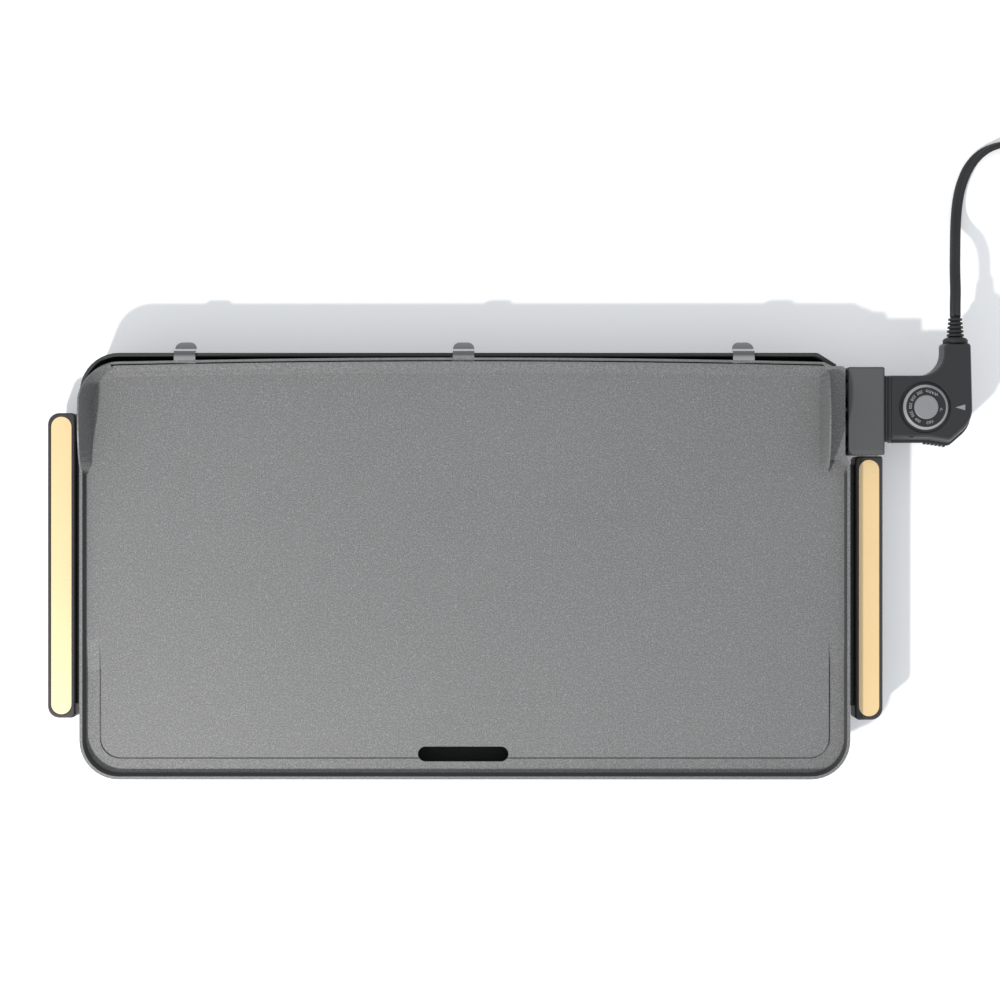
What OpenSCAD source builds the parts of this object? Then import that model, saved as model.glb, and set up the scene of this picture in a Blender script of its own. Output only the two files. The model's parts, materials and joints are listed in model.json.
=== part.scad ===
// Electric griddle: a cast plate on a plastic base, with a plug-in heat control.
// Inside the modules, x and y are measured from the middle of the plate and z from the table.
// place() then moves each piece so that the origin is under the middle of the whole griddle.

/* [Griddle plate] */
// Width of the plate over its rim
plate_w = 560; // [540:5:580]
// Depth of the plate, from the front rim to the middle of the rear rim
plate_d = 306.5; // [300:0.5:312]
// Height of the cooking surface above the table
cook_z = 50; // [49.5:0.1:50.5]
// Height of the rim above the cooking surface
rim_h = 7; // [6.5:0.1:7.5]
// Width of the flat top of the rim
lip_w = 2.2; // [1.8:0.1:2.6]
// Radius of the plate's outer corners
corner_r = 28.5; // [26:0.5:30]
// Height of the two rear ears above the table
ear_top = 80.5; // [76:0.5:84]
// Length of the grease slot
slot_w = 66; // [50:1:80]
// Width of the grease slot
slot_d = 11; // [9:0.5:12]
// Depth of the gutter below the cooking surface
gutter_h = 1.2; // [0.8:0.1:1.5]

/* [Base and handles] */
// Height of the base's rear rim
rear_rim_z = 52.3; // [50:0.1:52.5]
// Thickness of the base's walls
wall = 2.5; // [2:0.1:2.6]
// Height of the top of the handles
handle_z = 40; // [39:0.5:41]
// How far each handle stands out past the plate
handle_reach = 26.7; // [26:0.1:28]
// Width of the trim set into each handle
inlay_w = 15; // [13:0.5:15.5]

/* [Heat control] */
// Height of the top of the control's case
control_z = 50; // [49.8:0.1:50.2]
// Thickness of the control's case
control_h = 20.5; // [20.2:0.1:20.8]
// Radius of the dial
dial_r = 17.4; // [16.5:0.1:17.8]
// Distance between the two terminal pins
pin_gap = 28; // [27:0.5:29]
// Radius of the sensor rod
rod_r = 3; // [2.6:0.1:3]

/* [Hidden] */
$fn = 48;

// Levels of the plate
lip_z = cook_z + rim_h;
bead_z = lip_z - 2.5;
slab_z = cook_z - 4;
skirt_z = slab_z - 2;

// Outline of the plate
half_w = plate_w / 2;
front_y = -plate_d / 2;
rear_y = plate_d / 2;
rear_bow = 3.25;
bow_span = 260;
skirt_in = 2.5;
deck_x = half_w - 3.6;
deck_rear = rear_y - 6.2;
step_y = 79;
rim_draft = 1.1;
// The rear slope as [share of the rim's height, distance from its top]: a sloping foot, a ledge
// and a steep lip
rear_profile = [[0, 9.3], [0.5, 5.6], [0.57, 0.9], [1, 0.1], [1.05, 0]];

// Ears at the two rear corners
ear_r = 39.2;
ear_mid = 107.5;
ear_t = 1.2;
ear_right_x = half_w - 15.4;

// Grease slot and gutter
slot_x = -1.3;
slot_y = front_y + 17.6;
gutter_side = 14.5;
gutter_front = 15.4;
ramp_start = -52;
ramp_end = -74;

// Base
base_left = -half_w - 0.5;
base_right = half_w - 4;
base_front = front_y + 5;
base_rear = rear_y + 3.75;
floor_z = 10;
floor_t = 2.5;
base_top = skirt_z - 1;
post_z = 40;
posts = [[-258, -120], [258, -120], [-258, 100], [254, 58]];
foot_at = [[-238, -112], [238, -112], [-238, 122], [238, 122]];
shield_at = [[-180, -60], [180, -60], [-180, 92], [180, 92]];
shield_z = 27;
shield_t = 1;

// Drip tray and its bay
tray_x = 92;
tray_rear = front_y + 60;
tray_z = 16;
tray_top = 41;

// Handles
handle_x = half_w + handle_reach;
handle_in = half_w + 6.5;
handle_base = 20;
inlay_x = half_w + 16.6;
inlay_t = 3;
left_ends = [-110.3, 113.7];
right_ends = [-111.8, 82];
handle_screw_z = 29;

// Heating element and the socket for the heat control
socket_y = 116;
socket_z = control_z - 10;
pin_y = [socket_y - pin_gap / 2, socket_y + pin_gap / 2];
element_r = 3.3;
element_front = -76;
element_route = [
  [half_w, socket_y + pin_gap / 2, 0], [-240, socket_y + pin_gap / 2, 25],
  [-240, element_front, 25], [230, element_front, 25],
  [230, socket_y - pin_gap / 2, 20], [half_w, socket_y - pin_gap / 2, 0]
];
clamp_at = [
  [-120, 130, 90], [60, 130, 90], [-240, 20, 0], [-140, element_front, 90],
  [0, element_front, 90], [140, element_front, 90], [230, 10, 0]
];
clamp_off = 9;
bracket_x = base_right + 0.6;
bracket_t = 1.5;
bracket_screw_at = [[270, 93], [270, 139]];
housing_x = half_w - 0.8;
housing_end = half_w + 26;
housing_y = [82.6, 146.8];
housing_z = [27, 52.5];
housing_t = 2.5;
housing_screw_y = [88.6, 141];

// Rear clips
clip_at = [-204, -1, 203];
clip_w = 15.7;
clip_t = 1;
clip_y = rear_y + 11.9;

// Heat control
control_west = half_w + 31.4;
control_east = half_w + 91.3;
control_north = rear_y + 11.5;
arm_south = 91.8;
arm_north = 141.2;
upright_west = control_east - 21.7;
control_base = control_z - control_h;
split_z = socket_z;
case_t = 2.2;
block_z = [control_base + 2.7, control_z - 2.4];
block_y = [socket_y - 18.6, socket_y + 19.5];
dial_at = [half_w + 55.8, 117.4];
case_screw_at = [[half_w + 46, 98.5], [half_w + 85.5, 114], [half_w + 86, 148]];
relief_x = half_w + 79.9;
relief_end = control_north + 19.4;

// Power cord: a flat twin lead
cord_w = 8;
cord_t = 4.8;
// The lead's route, as [across, rearward, height, roll], counted from the strain relief's end
lead_route = [
  [0, 0, 40, 0], [0, 10, 40, 0], [0.5, 20, 38.5, 0], [1, 30, 35, 0], [2, 39.5, 30, 0],
  [3.5, 48.5, 23.5, 0], [5, 57.5, 17, 0], [6.5, 67, 11, 0], [8, 77, 6.2, 0],
  [9.5, 87.5, 3.4, 0], [11.5, 98, 2.6, 0], [14.5, 107.5, 2.6, 10], [18.5, 116, 3, 25],
  [24.5, 123.5, 3.4, 45], [32, 129, 4, 65], [41, 132.2, 4.6, 80], [50, 133, 4.8, 90],
  [68, 133, 4.8, 90], [88, 133, 4.8, 90]
];
// The coil's middle, counted from the same place, and the radii of its turns
coil_at = [104, 84];
coil_out = 49;
coil_in = 35.5;
coil_z = 0.8;
// The last stretch, as [angle, radius, height, roll] about the coil's middle
tail_route = [
  [180, 35.5, 4.8, 90], [162, 35.2, 6.6, 90], [144, 34.9, 9.4, 80],
  [126, 35.2, 12, 60], [108, 36.5, 13.6, 35], [92, 38.6, 14.2, 10], [78, 41, 14.2, 0]
];
plug_turn = -8;
plug_len = 32;

// The origin is under the middle of the box round everything but the cord and its pieces
origin = [(control_east - handle_x) / 2, (clip_y + front_y) / 2];

module place() {
  translate([-origin.x, -origin.y, 0]) children();
}

// ---- Outlines and swept shapes ----

function flat(v) = [v.x, v.y];
function unit(v) = v / norm(v);

// Points of the arc of radius r that rounds the corner at p1
function corner_arc(p0, p1, p2, r, n) =
  r <= 0 ? [p1] :
  let (
    u = unit(p0 - p1),
    v = unit(p2 - p1),
    half = acos(u * v) / 2,
    centre = p1 + unit(u + v) * r / sin(half),
    start = p1 + u * r / tan(half) - centre,
    stop = p1 + v * r / tan(half) - centre,
    a0 = atan2(start.y, start.x),
    turn = atan2(stop.y, stop.x) - a0,
    sweep = turn > 180 ? turn - 360 : turn < -180 ? turn + 360 : turn
  )
  [for (k = [0 : n]) centre + r * [cos(a0 + sweep * k / n), sin(a0 + sweep * k / n)]];

// A closed outline from [x, y, radius] corners
function rounded(pts, n = 10) =
  let (m = len(pts))
  [for (i = [0 : m - 1])
    each corner_arc(flat(pts[(i + m - 1) % m]), flat(pts[i]), flat(pts[(i + 1) % m]), pts[i].z, n)];

// An open path from [x, y, radius] corners
function rounded_path(pts, n) =
  let (m = len(pts))
  [for (i = [0 : m - 1])
    each (i == 0 || i == m - 1) ? [flat(pts[i])] :
      corner_arc(flat(pts[i - 1]), flat(pts[i]), flat(pts[i + 1]), pts[i].z, n)];

function box_outline(x, y, r) =
  rounded([[x[0], y[0], r], [x[1], y[0], r], [x[1], y[1], r], [x[0], y[1], r]]);

module prism(outline, z0, z1) {
  translate([0, 0, z0]) linear_extrude(z1 - z0) polygon(outline);
}

// A closed solid through rings of points, each counter-clockwise about the way the rings run.
// Each end is closed by triangles round a hub that sees the whole ring, or round its first point.
module skin(rings, hubs = []) {
  m = len(rings[0]);
  last = (len(rings) - 1) * m;
  hub = len(rings) * m;
  low_end = len(hubs) > 0 ?
    [for (i = [0 : m - 1]) [hub, i, (i + 1) % m]] : [for (i = [1 : m - 2]) [0, i, i + 1]];
  high_end = len(hubs) > 0 ?
    [for (i = [0 : m - 1]) [hub + 1, last + (i + 1) % m, last + i]] :
    [for (i = [1 : m - 2]) [last, last + i + 1, last + i]];
  polyhedron(
    points = [for (ring = rings) each ring, each hubs],
    faces = [
      each low_end,
      each high_end,
      for (k = [0 : len(rings) - 2], i = [0 : m - 1])
        let (here = k * m + i, beside = k * m + (i + 1) % m)
        each [[here, here + m, beside + m], [here, beside + m, beside]]
    ]
  );
}

function lifted(outline, z) = [for (p = outline) [p.x, p.y, z]];

module loft(low, high, z0, z1, hub) {
  skin([lifted(low, z0), lifted(high, z1)], [[hub.x, hub.y, z0], [hub.x, hub.y, z1]]);
}

// Rings of a tube w wide and t thick along 3-D points, turned by a roll at each point
function tube_rings(path, w, t, sides, roll) =
  let (m = len(path))
  [for (i = [0 : m - 1])
    let (
      way = unit(path[min(i + 1, m - 1)] - path[max(i - 1, 0)]),
      across = unit(cross(way, [0, 0, 1])),
      up = cross(across, way),
      wide = across * cos(roll[i]) + up * sin(roll[i]),
      thin = up * cos(roll[i]) - across * sin(roll[i])
    )
    [for (k = [0 : sides - 1])
      let (a = 360 * (k + 0.5) / sides)
      path[i] + thin * t / 2 * cos(a) + wide * w / 2 * sin(a)]];

// Cylinders along X and Y, from one coordinate to another
module rod_x(r, x0, x1, y, z) {
  translate([x0, y, z]) rotate([0, 90, 0]) cylinder(r = r, h = x1 - x0);
}

module rod_y(r, x, y0, y1, z) {
  translate([x, y0, z]) rotate([-90, 0, 0]) cylinder(r = r, h = y1 - y0);
}

module rod_z(r, at, z0, z1) {
  translate([at.x, at.y, z0]) cylinder(r = r, h = z1 - z0);
}

module block(x, y, z) {
  translate([x[0], y[0], z[0]]) cube([x[1] - x[0], y[1] - y[0], z[1] - z[0]]);
}

module stadium(x0, x1, y, r, z0, z1) {
  rod_z(r, [x0 + r, y], z0, z1);
  rod_z(r, [x1 - r, y], z0, z1);
  block([x0 + r, x1 - r], [y - r, y + r], [z0, z1]);
}

module stadium_y(x, y0, y1, r, z0, z1) {
  rod_z(r, [x, y0 + r], z0, z1);
  rod_z(r, [x, y1 - r], z0, z1);
  block([x - r, x + r], [y0 + r, y1 - r], [z0, z1]);
}

// ---- Griddle plate ----

function rear_edge(x) = rear_y - rear_bow * pow(x / bow_span, 2);

// The rear edge is gently bowed, from right to left
function rear_points(d) = [for (x = [240 : -40 : -240]) [x, rear_edge(x) - d, 0]];

// The plate's outline drawn in by d
function plate_outline(d) = rounded([
  [-half_w + d, front_y + d, corner_r - d],
  [half_w - d, front_y + d, corner_r - d],
  [half_w - d, step_y - 4, 5],
  [deck_x - d, step_y + 4, 5],
  [deck_x - d, deck_rear - d, 3],
  [ear_right_x + 2.4, deck_rear - d, 1],
  [ear_right_x - 3.6, rear_edge(bow_span) - d, 2],
  each rear_points(d),
  [-half_w + d, rear_edge(bow_span) - d, corner_r - d]
]);

// The cooking area's outline: k is 0 at the cooking surface and 1 at the top of the rim
function recess_outline(k) =
  let (side = lip_w + rim_draft * (1 - k), rear = 1 + lookup(k, rear_profile))
  rounded([
    [-half_w + side, front_y + side + 0.6 * (1 - k), corner_r - side],
    [half_w - side, front_y + side + 0.6 * (1 - k), corner_r - side],
    [half_w - side, step_y - rim_draft * (1 - k), 7],
    [ear_right_x - 3, step_y - rim_draft * (1 - k), 0],
    [ear_right_x - 3, rear_edge(bow_span) - rear, 2],
    each rear_points(rear),
    [-half_w + side, rear_edge(bow_span) - rear, corner_r - side]
  ]);

function step_outline(d) = rounded([
  [-half_w + gutter_side - d, front_y + gutter_front - d, 14 + d],
  [half_w - gutter_side + d, front_y + gutter_front - d, 14 + d],
  [half_w - gutter_side + d, 0, 0], [-half_w + gutter_side - d, 0, 0]
]);

// A ring round the front, outside the step line, that ramps up to the cooking surface at each side
module front_ring(depth, outer) {
  intersection() {
    difference() {
      prism(outer, cook_z - depth, cook_z + 0.5);
      prism(step_outline(0), cook_z - depth - 1, cook_z + 1);
    }
    translate([-half_w, 0, 0]) rotate([90, 0, 90]) linear_extrude(plate_w) polygon([
      [ramp_start, cook_z], [ramp_end, cook_z - depth], [front_y, cook_z - depth],
      [front_y, cook_z + 1], [ramp_start + 1, cook_z + 1]
    ]);
  }
}

// The gutter, with a narrow groove along its inner side
module gutter() {
  front_ring(gutter_h, recess_outline(-0.1));
  front_ring(gutter_h + 0.9, step_outline(1.1));
}

function ear_height(y) =
  max(lip_z + 0.1, ear_top - ear_r + sqrt(max(0, ear_r * ear_r - pow(y - ear_mid, 2))));

// Rings of an ear: each has its outer edge at rim level, the way inwards and its section
function ear_rings(outer, inward, sections) =
  [for (i = [0 : len(outer) - 1])
    [for (s = sections[i])
      [outer[i].x + inward[i].x * s.x, outer[i].y + inward[i].y * s.x, s.y]]];

function left_section(top, foot) =
  let (lean = 0.3 + 2.7 * (top - lip_z) / (ear_top - lip_z))
  [[3, bead_z + 0.5], [0.25, lip_z - 0.7], [lean, top], [lean + ear_t, top],
   [foot, cook_z], [foot + 0.4, slab_z + 0.5], [3, slab_z + 0.5]];

function right_section(top, foot) =
  let (slope = 2 / (ear_top - lip_z), lean = slope * (top - lip_z))
  [[slope * (slab_z + 0.5 - lip_z), slab_z + 0.5], [lean, top], [lean + ear_t, top],
   [foot, cook_z], [foot + 0.4, slab_z + 0.5]];

module left_ear() {
  centre = [-half_w + corner_r, rear_edge(bow_span) - corner_r];
  ys = [for (y = [69, 70.5, 72, 74, 77]) y, for (y = [81 : 4.5 : centre.y - 1]) y];
  angles = [for (a = [180 : -6 : 102]) a];
  outer = [for (y = ys) [-half_w, y], for (a = angles) centre + corner_r * [cos(a), sin(a)]];
  inward = [for (y = ys) [1, 0], for (a = angles) [-cos(a), -sin(a)]];
  // The ear's height falls away round the corner
  start = ear_height(centre.y) - lip_z - 0.1;
  heights = [
    for (y = ys) ear_height(y),
    for (a = angles) lip_z + 0.1 + start * pow((a - 102) / 78, 1.15)
  ];
  sections = [for (i = [0 : len(outer) - 1])
    let (grow = min(1, max(0, (outer[i].y - 68) / 8)))
    left_section(heights[i], 4.2 + 3.8 * grow)];
  skin(ear_rings(outer, inward, sections));
}

module right_ear() {
  ys = [for (y = [144 : -4.5 : 81]) y, for (y = [78, 75, 73, 71.5, 70]) y];
  outer = [for (y = ys) [ear_right_x, y]];
  inward = [for (y = ys) [-1, 0]];
  sections = [for (y = ys) right_section(y < 74 ? ear_height(y) - (74 - y) : ear_height(y), 6.1)];
  skin(ear_rings(outer, inward, sections));
}

module clamp_boss(at) {
  rod_z(4.2, clamp_hole(at), socket_z - element_r, slab_z + 1);
}

function clamp_hole(at) = at.z == 90 ? [at.x, at.y - clamp_off] : [at.x + clamp_off, at.y];

// Cast rails that the element is clamped against
module rails() {
  rail = [socket_z + element_r + 0.1, slab_z + 1];
  w = 5;
  block([-205, 255], [pin_y[1] - w, pin_y[1] + w], rail);
  block([-240 - w, -240 + w], [element_front + 31, 98], rail);
  block([-208, 198], [element_front - w, element_front + w], rail);
  block([230 - w, 230 + w], [element_front + 31, 78], rail);
}

module griddle_plate() color("#8a8a8c") place() {
  difference() {
    union() {
      difference() {
        union() {
          prism(plate_outline(0), bead_z, lip_z);
          prism(plate_outline(skirt_in), skirt_z, bead_z);
        }
        prism(plate_outline(skirt_in + 3), skirt_z - 1, slab_z);
        skin([for (k = [0, 0.5, 0.57, 1.05]) lifted(recess_outline(k), cook_z + k * rim_h)],
          [for (k = [0, 1.05]) [0, 0, cook_z + k * rim_h]]);
        gutter();
        block([267, 272.4], [86, 143], [skirt_z - 1, lip_z - 3.5]);
        block([267, half_w], [86, 144.6], [skirt_z - 1, slab_z + 0.6]);
      }
      left_ear();
      right_ear();
      rails();
      for (at = clamp_at) clamp_boss(at);
      for (at = posts) rod_z(6, at, post_z, slab_z + 1);
      for (at = bracket_screw_at) rod_z(3.7, at, skirt_z, lip_z - 2);
    }
    stadium(slot_x - slot_w / 2, slot_x + slot_w / 2, slot_y, slot_d / 2, slab_z - 1, lip_z);
    for (at = clamp_at) rod_z(1.7, clamp_hole(at), socket_z - element_r - 1, slab_z);
    for (at = bracket_screw_at) rod_z(1.6, at, skirt_z - 1, skirt_z + 7);
    for (x = clip_at) rod_y(1.55, x, rear_edge(x) - skirt_in - 4, rear_y, clip_rivet_z);
  }
}

// ---- Heating element and its fixings ----

module heating_element() color("#6e6a66") place() {
  path = [for (p = rounded_path(element_route, 6)) [p.x, p.y, socket_z]];
  skin(tube_rings(path, 2 * element_r, 2 * element_r, 12, [for (p = path) 0]));
}

module element_clamps() color("#c4c6c8") place() {
  top = socket_z - element_r - 0.1;
  for (at = clamp_at) {
    hole = clamp_hole(at);
    difference() {
      if (at.z == 90)
        block([at.x - 6, at.x + 6], [at.y - clamp_off - 5, at.y + 4], [top - 1.4, top]);
      else
        block([at.x - 4, at.x + clamp_off + 5], [at.y - 6, at.y + 6], [top - 1.4, top]);
      rod_z(1.8, hole, top - 2, top + 1);
    }
  }
}

module clamp_screws() color("#b0b2b4") place() {
  under = socket_z - element_r - 1.5;
  for (at = clamp_at) {
    rod_z(3, clamp_hole(at), under - 2, under);
    rod_z(1.65, clamp_hole(at), under, slab_z - 1);
  }
}

// The sleeve under the plate that the sensor rod slides into
module sensor_sleeve() color("#a2a4a6") place() {
  difference() {
    union() {
      rod_x(5, 226, bracket_x, socket_y, socket_z);
      block([232, 262], [socket_y - 2.5, socket_y + 2.5], [socket_z, slab_z]);
    }
    rod_x(rod_r + 0.1, 220, bracket_x + 1, socket_y, socket_z);
  }
}

module terminal_bracket() color("#b8babc") place() {
  x1 = bracket_x + bracket_t;
  difference() {
    union() {
      block([bracket_x, x1], [85.5, 144.3], [30, skirt_z]);
      block([264, x1], [88, 144.3], [skirt_z - 1.5, skirt_z]);
    }
    for (y = pin_y) rod_x(6.05, bracket_x - 1, x1 + 1, y, socket_z);
    rod_x(rod_r + 0.3, bracket_x - 1, x1 + 1, socket_y, socket_z);
    for (y = housing_screw_y) rod_x(1.7, bracket_x - 1, x1 + 1, y, socket_z);
    for (at = bracket_screw_at) rod_z(1.7, at, skirt_z - 3, skirt_z + 1);
    for (y = pin_y) block([260, bracket_x], [y - 6.1, y + 6.1], [skirt_z - 2, skirt_z + 1]);
    block([260, bracket_x], [socket_y - 5.2, socket_y + 5.2], [skirt_z - 2, skirt_z + 1]);
  }
}

module bracket_screws() color("#b0b2b4") place() {
  for (at = bracket_screw_at) {
    rod_z(2.8, at, skirt_z - 3.3, skirt_z - 1.5);
    rod_z(1.55, at, skirt_z - 1.5, skirt_z + 6);
  }
}

module terminal_insulators() color("#24201c") place() {
  for (y = pin_y) difference() {
    rod_x(6, half_w - 8, half_w + 3, y, socket_z);
    rod_x(element_r + 0.15, half_w - 9, half_w + 0.05, y, socket_z);
    rod_x(2.45, half_w - 1, half_w + 4, y, socket_z);
  }
}

module terminal_pins() color("#c9b26a") place() {
  for (y = pin_y) {
    rod_x(2.4, half_w + 0.1, half_w + 21, y, socket_z);
    translate([half_w + 21, y, socket_z]) sphere(r = 2.4);
  }
}

// The guard round the terminals; the heat control plugs into its open end
module socket_housing() color("#636363") place() {
  x = [housing_x, housing_end];
  y = housing_y;
  z = housing_z;
  t = housing_t;
  difference() {
    union() {
      difference() {
        union() {
          prism(box_outline(x, y, 1.5), z[0], z[1] - 1.5);
          loft(box_outline(x, y, 1.5), box_outline([x[0] + 0.4, x[1] - 1], [y[0] + 3.4, y[1] - 1], 1.5),
            z[1] - 1.5, z[1], [(x[0] + x[1]) / 2, socket_y]);
        }
        block([x[0] - 1, x[1] - t], [y[0] + t, y[1] - t], [z[0] + t, z[1] - t]);
        block([x[1] - t - 1, x[1] + 1], [block_y[0] - 1, block_y[1] + 1], [block_z[0] - 1, block_z[1] + 0.9]);
      }
      for (cy = housing_screw_y) rod_x(3.8, x[0], x[0] + 12, cy, socket_z);
    }
    for (cy = housing_screw_y) rod_x(1.5, x[0] - 1, x[0] + 9, cy, socket_z);
  }
}

module housing_screws() color("#b0b2b4") place() {
  for (y = housing_screw_y) {
    rod_x(2.4, bracket_x - 1.9, bracket_x, y, socket_z);
    rod_x(1.45, bracket_x, housing_x + 8, y, socket_z);
  }
}

// ---- Rear clips ----

clip_rivet_z = 49.5;

function clip_face(x) = rear_edge(x) - skirt_in + 0.15;

// Outline of a strip of thickness t along a path of points, with mitred bends
function ribbon(path, t) =
  let (
    m = len(path),
    side = [for (i = [0 : m - 1])
      let (
        a = i == 0 ? unit(path[1] - path[0]) : unit(path[i] - path[i - 1]),
        b = i == m - 1 ? a : unit(path[i + 1] - path[i]),
        n = unit(a + b)
      )
      [-n.y, n.x] * t / 2 / (n * a)]
  )
  [for (i = [0 : m - 1]) path[i] + side[i], for (i = [m - 1 : -1 : 0]) path[i] - side[i]];

// A spring clip: fixed to the plate's rear face, over the base's rim and down its outside
module rear_clip(x) {
  foot = clip_face(x) + clip_t / 2;
  over = base_rear + 1.4;
  flat_z = rear_rim_z + 1.5;
  path = [for (p = rounded_path([
    [foot, 45.5, 0], [foot, flat_z, 1.2], [over, flat_z, 1.6], [over, 48.4, 3], [clip_y - 0.3, 43.8, 0]
  ], 4)) p];
  difference() {
    intersection() {
      translate([x - clip_w / 2, 0, 0]) rotate([90, 0, 90]) linear_extrude(clip_w) polygon(ribbon(path, clip_t));
      prism(rounded([
        [x - clip_w / 2, foot - 3, 0], [x + clip_w / 2, foot - 3, 0],
        [x + clip_w / 2, clip_y, 5], [x - clip_w / 2, clip_y, 5]
      ]), 40, 60);
    }
    rod_y(1.9, x, foot - 2, foot + 1, clip_rivet_z);
  }
}

module clip_left() color("#c9cbcd") place() rear_clip(clip_at[0]);
module clip_centre() color("#c9cbcd") place() rear_clip(clip_at[1]);
module clip_right() color("#c9cbcd") place() rear_clip(clip_at[2]);

module clip_rivets() color("#b0b2b4") place() {
  for (x = clip_at) {
    rod_y(1.5, x, clip_face(x) - 4, clip_face(x) + 1.8, clip_rivet_z);
    rod_y(2.6, x, clip_face(x) + 1.5, clip_face(x) + 2.3, clip_rivet_z);
  }
}

// ---- Base ----

function base_outline(d) = rounded([
  [base_left + d, base_front + d, 26 - d],
  [base_right - d, base_front + d, 26 - d],
  [base_right - d, 145 - d / 2, 3],
  [257 - d / 2, base_rear - d, 6],
  [base_left + d, base_rear - d, 28.4 - d]
]);

module base_walls() {
  difference() {
    union() {
      prism(base_outline(0), floor_z, base_top);
      intersection() {
        prism(base_outline(0), base_top, rear_rim_z);
        block([base_left, half_w - 9.5], [130, base_rear], [base_top, rear_rim_z]);
      }
    }
    prism(base_outline(wall), floor_z + floor_t, rear_rim_z + 1);
  }
}

// Walls that guide the drip tray, and low ribs that it slides on
module tray_bay() {
  for (s = [-1, 1]) {
    block([s * (tray_x + 3.75) - 1.25, s * (tray_x + 3.75) + 1.25], [base_front + 1, tray_rear + 4],
      [floor_z + 1, 38]);
    block([s * 70 - 2, s * 70 + 2], [base_front + 1, tray_rear + 2], [floor_z + 1, tray_z - 0.1]);
  }
  block([-tray_x - 5, tray_x + 5], [tray_rear + 1.5, tray_rear + 4], [floor_z + 1, 30]);
}

module base_tray() color("#464846") place() {
  difference() {
    union() {
      base_walls();
      tray_bay();
      for (at = posts) rod_z(7, at, floor_z + 1, post_z);
      for (at = shield_at) rod_z(5, at, floor_z + 1, shield_z);
    }
    // Opening that the drip tray slides through
    block([-tray_x - 2.5, tray_x + 2.5], [base_front - 1, base_front + wall + 0.5], [tray_z - 1, base_top + 1]);
    // Notch for the terminals
    block([base_right - wall - 1, base_right + 1], [82, 148], [25, rear_rim_z + 1]);
    for (at = foot_at) rod_z(3.1, at, floor_z - 1, floor_z + floor_t + 1);
    for (at = shield_at) rod_z(1.6, at, shield_z - 9, shield_z + 1);
    for (y = [-70, 0, 70]) {
      rod_x(2.1, base_left - 1, base_left + wall + 1, y, handle_screw_z);
      rod_x(2.1, base_right - wall - 1, base_right + 1, y - 16, handle_screw_z);
    }
    // Vents in the floor
    for (x = [-200, -120, 120, 200], k = [0 : 5])
      stadium(x - 22, x + 22, -20 + 16 * k, 2.5, floor_z - 1, floor_z + floor_t + 1);
  }
}

module rubber_feet() color("#2b2b2b") place() {
  stem = floor_z + floor_t;
  for (at = foot_at) translate([at.x, at.y, 0]) rotate_extrude() polygon([
    [0, 0], [8, 0], [9.2, 1.2], [9.8, floor_z], [3, floor_z],
    [3, stem + 0.05], [4.4, stem + 0.05], [2.4, stem + 3], [0, stem + 3]
  ]);
}

// A handle is a bar, open below, on a web that is screwed to the base
module handle_bar(x_out, x_in, y, x_base, screw_y, rear_r = 8.5) {
  s = x_out > 0 ? 1 : -1;
  inner = x_in - s * 0.01;
  bar_x = s > 0 ? [x_in, x_out] : [x_out, x_in];
  bar = s > 0 ?
    rounded([[bar_x[0], y[0], 3], [bar_x[1], y[0], 8.5], [bar_x[1], y[1], rear_r], [bar_x[0], y[1], 3]]) :
    rounded([[bar_x[0], y[0], 8.5], [bar_x[1], y[0], 3], [bar_x[1], y[1], 3], [bar_x[0], y[1], 8.5]]);
  top = s > 0 ?
    rounded([[bar_x[0] + 1, y[0] + 1, 2], [bar_x[1] - 1, y[0] + 1, 7.5],
      [bar_x[1] - 1, y[1] - 1, rear_r - 1], [bar_x[0] + 1, y[1] - 1, 2]]) :
    rounded([[bar_x[0] + 1, y[0] + 1, 7.5], [bar_x[1] - 1, y[0] + 1, 2],
      [bar_x[1] - 1, y[1] - 1, 2], [bar_x[0] + 1, y[1] - 1, 7.5]]);
  hollow = box_outline([bar_x[0] + 2.8, bar_x[1] - 2.8], [y[0] + 4, y[1] - 4], 4);
  web = s > 0 ? [x_base, inner] : [inner, x_base];
  difference() {
    union() {
      difference() {
        union() {
          prism(bar, handle_base, handle_z - 1);
          loft(bar, top, handle_z - 1, handle_z, [s * inlay_x, (y[0] + y[1]) / 2]);
        }
        prism(hollow, handle_base - 1, handle_z - 6);
      }
      block(web, [y[0] + 10, y[1] - 6], [24, 34]);
      for (cy = screw_y) rod_x(4, min(inner, inner + s * 13), max(inner, inner + s * 13), cy, handle_screw_z);
    }
    for (cy = screw_y)
      rod_x(1.9, min(x_base - s, x_in + s * 11), max(x_base - s, x_in + s * 11), cy, handle_screw_z);
    stadium_y(s * inlay_x, y[0] + 2.7 - 0.3, y[1] - 2.7 + 0.3, inlay_w / 2 + 0.3, handle_z - inlay_t, handle_z + 1);
  }
}

module left_handle() color("#4b4949") place()
  handle_bar(-handle_x, -handle_in, left_ends, base_left, [-70, 0, 70]);

module right_handle() color("#4b4949") place()
  handle_bar(handle_x, handle_in, right_ends, base_right, [-86, -16, 54], 2);

module left_handle_inlay() color("#e9cf97") place()
  stadium_y(-inlay_x, left_ends[0] + 2.7, left_ends[1] - 2.7, inlay_w / 2, handle_z - inlay_t, handle_z + 0.2);

module right_handle_inlay() color("#e9cf97") place()
  stadium_y(inlay_x, right_ends[0] + 2.7, right_ends[1] - 2.7, inlay_w / 2, handle_z - inlay_t, handle_z + 0.2);

module handle_screws() color("#b0b2b4") place() {
  for (y = [-70, 0, 70]) {
    rod_x(3.4, base_left + wall, base_left + wall + 2, y, handle_screw_z);
    rod_x(1.85, -handle_in - 10, base_left + wall, y, handle_screw_z);
    rod_x(3.4, base_right - wall - 2, base_right - wall, y - 16, handle_screw_z);
    rod_x(1.85, base_right - wall, handle_in + 10, y - 16, handle_screw_z);
  }
}

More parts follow.
